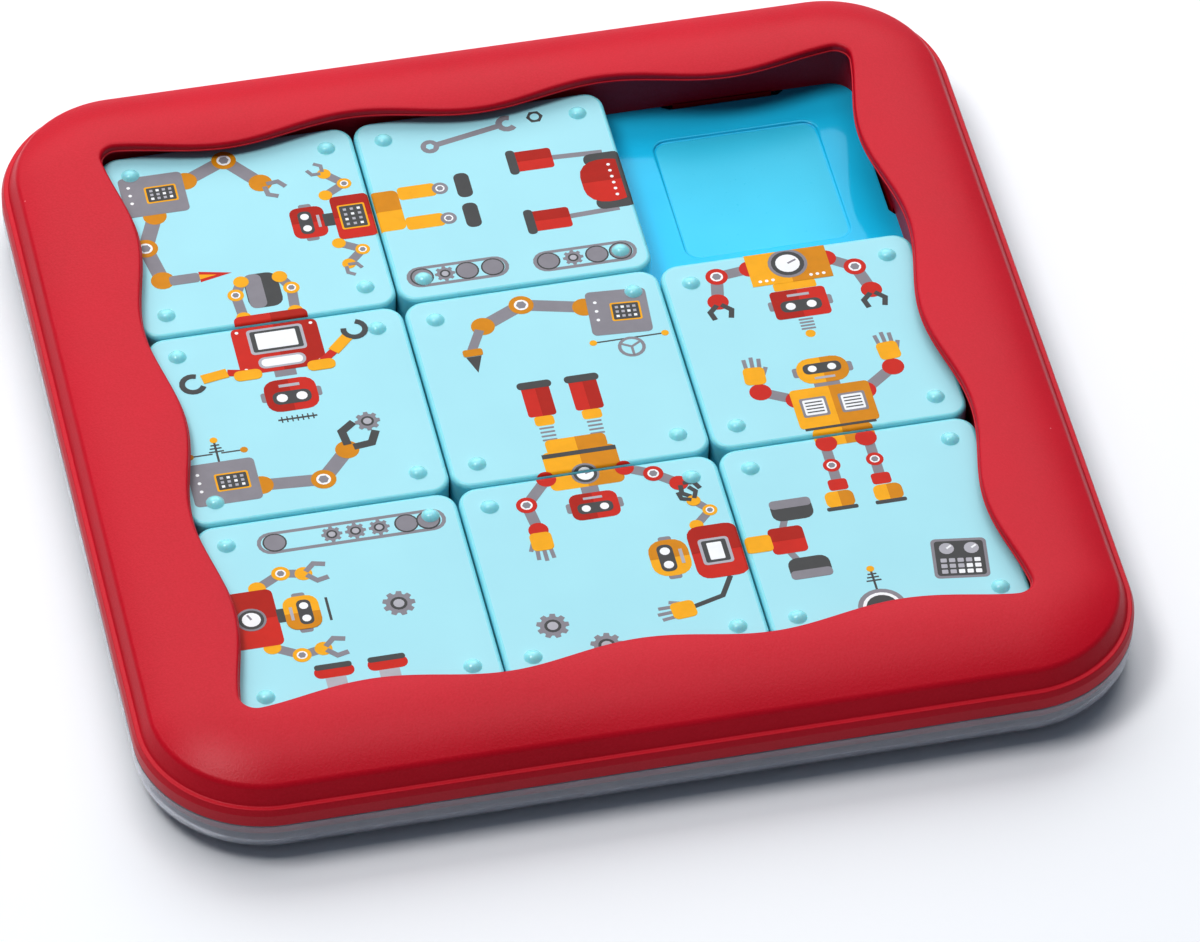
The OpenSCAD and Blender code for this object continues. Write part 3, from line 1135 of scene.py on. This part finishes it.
class Nodes:
    """Short ways to build a material around one Principled node."""

    def __init__(self, name):
        self.material = bpy.data.materials.new(name)
        self.material.use_nodes = True
        self.tree = self.material.node_tree
        self.shader = self.tree.nodes["Principled BSDF"]
        self.place = self.tree.nodes.new("ShaderNodeTexCoord").outputs["Object"]

    def add(self, kind, **inputs):
        """A new node with some of its inputs linked or set."""
        node = self.tree.nodes.new(kind)
        for name, value in inputs.items():
            self.link(value, node.inputs[name])
        return node

    def link(self, value, socket):
        """Links an output to a socket, or sets the socket to a constant."""
        if isinstance(value, bpy.types.NodeSocket):
            self.tree.links.new(value, socket)
        else:
            socket.default_value = value

    def noise(self, size_mm, detail=3.0, roughness=0.55):
        """Noise with features of about size_mm."""
        node = self.add("ShaderNodeTexNoise", Vector=self.place, Scale=1000 / size_mm, Detail=detail,
                        Roughness=roughness)
        return node.outputs["Fac"]

    def cells(self, size_mm):
        """Distance to the nearest of scattered points, size_mm apart, from 0 to about 1."""
        node = self.add("ShaderNodeTexVoronoi", Vector=self.place, Scale=1000 / size_mm)
        return node.outputs["Distance"]

    def ramp(self, value, low, high, start, end):
        """value, from low to high, as a number from start to end."""
        limits = {"From Min": low, "From Max": high, "To Min": start, "To Max": end}
        return self.add("ShaderNodeMapRange", Value=value, **limits).outputs["Result"]

    def blend(self, share, a, b):
        """Colour a where share is 0, b where it is 1."""
        node = self.tree.nodes.new("ShaderNodeMix")
        node.data_type = "RGBA"
        self.link(share, node.inputs["Factor"])
        self.link(a, node.inputs["A"])
        self.link(b, node.inputs["B"])
        return next(s for s in node.outputs if s.type == "RGBA")

    def mottled(self, mottle, low, high):
        """A colour that wanders between two with a noise."""
        return self.blend(self.ramp(mottle, 0.3, 0.7, 0, 1), low, high)

    def maths(self, operation, a, b):
        """One arithmetic operation."""
        node = self.tree.nodes.new("ShaderNodeMath")
        node.operation = operation
        self.link(a, node.inputs[0])
        self.link(b, node.inputs[1])
        return node.outputs[0]

    def bump(self, height, depth_mm, strength=1.0):
        """Bends the surface by a height, which is depth_mm where it is 1."""
        node = self.add("ShaderNodeBump", Height=height, Distance=depth_mm * MM, Strength=strength)
        self.link(node.outputs["Normal"], self.shader.inputs["Normal"])

    def finish(self, **inputs):
        """Sets the shader's own inputs and gives the material."""
        for name, value in inputs.items():
            self.link(value, self.shader.inputs[name.replace("_", " ")])
        return self.material


def colour(r, g, b):
    """A linear colour, opaque."""
    return (r, g, b, 1.0)


def paint(r, g, b):
    """A colour given as it looks in print, from 0 to 255, as the shader's linear colour."""
    return colour(*[((c / 255 + 0.055) / 1.055) ** 2.4 if c > 10 else c / 3295 for c in (r, g, b)])


def frame_plastic():
    """Red plastic with a fine spark-eroded grain, a little dust and slight rubbing."""
    n = Nodes("red_satin_plastic")
    clouds = n.noise(45, 2)
    grain = n.noise(0.55, 2, 0.6)
    fine = n.noise(0.22, 1)
    speck = n.ramp(n.cells(11), 0.016, 0.024, 1.0, 0.0)
    chosen = n.ramp(n.noise(23, 0), 0.54, 0.56, 0.0, 1.0)
    base = n.mottled(clouds, colour(0.57, 0.0012, 0.016), colour(0.63, 0.002, 0.021))
    grained = n.blend(n.ramp(grain, 0.35, 0.7, 0.0, 0.35), base, colour(0.70, 0.01, 0.04))
    dusty = n.blend(n.maths("MULTIPLY", speck, chosen), grained, colour(0.75, 0.35, 0.36))
    n.bump(n.maths("ADD", grain, n.maths("MULTIPLY", fine, 0.6)), 0.05, 0.8)
    return n.finish(Base_Color=dusty, Roughness=n.ramp(clouds, 0.3, 0.7, 0.34, 0.42),
                    Specular_IOR_Level=0.3)


def tray_plastic(name, low, high, roughness):
    """Blue plastic with faint flow clouds and hairline scuffs."""
    n = Nodes(name)
    clouds = n.noise(30, 2)
    scuffs = n.noise(1.4, 4, 0.7)
    base = n.mottled(clouds, low, high)
    n.bump(clouds, 0.05, 0.15)
    return n.finish(Base_Color=base, Roughness=n.ramp(scuffs, 0.3, 0.75, roughness, roughness + 0.07),
                    Specular_IOR_Level=0.32)


def tile_plastic(name, low, high, roughness):
    """Cyan plastic that lets a little light through."""
    n = Nodes(name)
    clouds = n.noise(26, 2)
    base = n.mottled(clouds, low, high)
    n.bump(n.noise(0.5, 2), 0.012, 0.35)
    return n.finish(Base_Color=base, Roughness=n.ramp(clouds, 0.3, 0.7, roughness, roughness + 0.06),
                    Subsurface_Weight=0.5, Subsurface_Radius=(0.5, 1.0, 1.2), Subsurface_Scale=0.003)


def face_print():
    """Pale cyan print under a satin varnish."""
    n = Nodes("pale_cyan_print")
    clouds = n.noise(26, 2)
    base = n.mottled(clouds, colour(0.41, 0.745, 0.81), colour(0.43, 0.775, 0.835))
    n.bump(n.noise(0.5, 2), 0.012, 0.35)
    return n.finish(Base_Color=base, Roughness=n.ramp(clouds, 0.3, 0.7, 0.30, 0.38),
                    Specular_IOR_Level=0.2)


def ink(name, r, g, b):
    """Printing ink under varnish: an even colour with a faint mottle and grain."""
    n = Nodes("ink_" + name)
    light = paint(r, g, b)
    dark = colour(*[c * 0.94 for c in light[:3]])
    base = n.blend(n.ramp(n.noise(3.5, 3), 0.35, 0.65, 0, 1), light, dark)
    n.bump(n.noise(0.5, 2), 0.01, 0.3)
    return n.finish(Base_Color=base, Roughness=n.ramp(n.noise(6, 2), 0.3, 0.7, 0.30, 0.38),
                    Specular_IOR_Level=0.15)


def lid_plastic():
    """Clear polished plastic, a little grey, with faint handling haze."""
    n = Nodes("clear_plastic")
    haze = n.noise(9, 3)
    base = n.mottled(haze, colour(0.84, 0.86, 0.93), colour(0.90, 0.91, 0.97))
    return n.finish(Base_Color=base, Roughness=n.ramp(haze, 0.35, 0.75, 0.04, 0.12),
                    Transmission_Weight=0.78, IOR=1.49)


# ---------------- stage, light and camera


def floor_material():
    """Plain pale table top with the faintest clouds."""
    n = Nodes("pale_table")
    clouds = n.noise(180, 1)
    base = n.blend(clouds, colour(0.90, 0.90, 0.91), colour(0.93, 0.93, 0.935))
    return n.finish(Base_Color=base, Roughness=0.28, Specular_IOR_Level=0.4)


def stage():
    """The table, just under the lid so that the two don't touch in one plane."""
    mesh = bpy.data.meshes.new("table")
    far = 4.0
    gap = 0.0002
    mesh.from_pydata([(-far, -far, 0), (far, -far, 0), (far, far, 0), (-far, far, 0)], [], [(0, 1, 2, 3)])
    mesh.materials.append(floor_material())
    table = bpy.data.objects.new("table", mesh)
    table.location.z = lid_low.z * MM - gap
    bpy.context.scene.collection.objects.link(table)


def softbox(name, azimuth, elevation, distance, width, height, brightness):
    """A rectangular light that faces the board, from a direction given in degrees.

    brightness is that of its surface, whatever its size.
    """
    lamp = bpy.data.lights.new(name, "AREA")
    lamp.shape = "RECTANGLE"
    lamp.size = width
    lamp.size_y = height
    lamp.energy = brightness * pi * width * height
    obj = bpy.data.objects.new(name, lamp)
    a, e = radians(azimuth), radians(elevation)
    towards = Vector((sin(a) * cos(e), cos(a) * cos(e), sin(e)))
    obj.location = towards * distance
    obj.rotation_euler = towards.to_track_quat("Z", "Y").to_euler()
    bpy.context.scene.collection.objects.link(obj)


def world_light(level, tint):
    """Even light from all round."""
    world = bpy.data.worlds.new("studio")
    world.use_nodes = True
    background = world.node_tree.nodes["Background"]
    background.inputs["Color"].default_value = tint
    background.inputs["Strength"].default_value = level
    bpy.context.scene.world = world


def lights():
    """A large panel behind, a small softbox at the left and one overhead, with a cool fill."""
    world_light(0.18, colour(0.66, 0.80, 1.0))
    softbox("back_panel", azimuth=2, elevation=41, distance=2.0, width=3.2, height=1.6, brightness=2.0)
    softbox("side_softbox", azimuth=-84, elevation=66, distance=1.6, width=0.5, height=0.5, brightness=10.0)
    softbox("top_softbox", azimuth=-10, elevation=82, distance=1.6, width=1.5, height=0.75, brightness=2.3)


def view_settings():
    """Plain view transform, with a little more contrast."""
    view = bpy.context.scene.view_settings
    view.view_transform = "Standard"
    view.gamma = 0.85
    view.exposure = 0.07


def camera():
    """A long lens from the front left, a little rolled, aimed near the middle of the board."""
    azimuth, elevation, roll = radians(13.5), radians(46.42), radians(1.47)
    distance = 1.9493
    aim = Vector((0.0033, -0.0314, 0.0201))
    forward = Vector((sin(azimuth) * cos(elevation), cos(azimuth) * cos(elevation), -sin(elevation)))
    data = bpy.data.cameras.new("camera")
    data.lens = 259.9
    data.sensor_width = 36
    obj = bpy.data.objects.new("camera", data)
    obj.location = aim - forward * distance
    rotation = forward.to_track_quat("-Z", "Y").to_matrix()
    roll_turn = Matrix.Rotation(roll, 3, "Z")
    obj.rotation_euler = (rotation @ roll_turn).to_euler()
    bpy.context.scene.collection.objects.link(obj)
    bpy.context.scene.camera = obj


# ---------------- the object


def build():
    """All pieces with their materials, each attached to its body."""
    red = frame_plastic()
    gloss = tray_plastic("blue_gloss_plastic", colour(0.016, 0.56, 0.84), colour(0.024, 0.60, 0.89), 0.06)
    satin = tray_plastic("blue_satin_plastic", colour(0.05, 0.60, 0.81), colour(0.065, 0.64, 0.86), 0.27)
    cyan = tile_plastic("cyan_plastic", colour(0.27, 0.73, 0.82), colour(0.31, 0.76, 0.85), 0.24)
    # Painted light: the studs are the block's own cyan plastic, given a lighter colour so that the domes
    # look lit; only their glossier finish differs for real.
    stud = tile_plastic("stud_plastic_painted_light", colour(0.34, 0.79, 0.86), colour(0.38, 0.82, 0.88), 0.12)
    clear = lid_plastic()
    face = face_print()
    inks = [face if name == "bare" else ink(name, *INK_COLOURS[name]) for name in INKS]
    shapes = board_picture()

    rim = red_frame(red)
    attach(rim, "board")
    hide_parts("red_frame", "frame_clips", "frame_ribs")

    tray = blue_tray([gloss, satin])
    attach(tray, "board")
    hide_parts("blue_tray", "tray_ribs")

    dish = clear_lid(clear)
    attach(dish, "lid")
    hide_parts("clear_lid")

    for node in TILES:
        place = node.removeprefix("tile_")
        low, high = box_mm(node)
        centre = ((low.x + high.x) / 2, (low.y + high.y) / 2)
        tile = tile_mesh("block_" + place, [cyan, face, stud])
        tile.location = (centre[0] * MM, centre[1] * MM, 0)
        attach(tile, node)
        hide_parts(node)
        picture = print_mesh("picture_" + place, shapes, centre, inks)
        picture.location = tile.location
        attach(picture, node)


view_settings()
stage()
lights()
camera()
build()
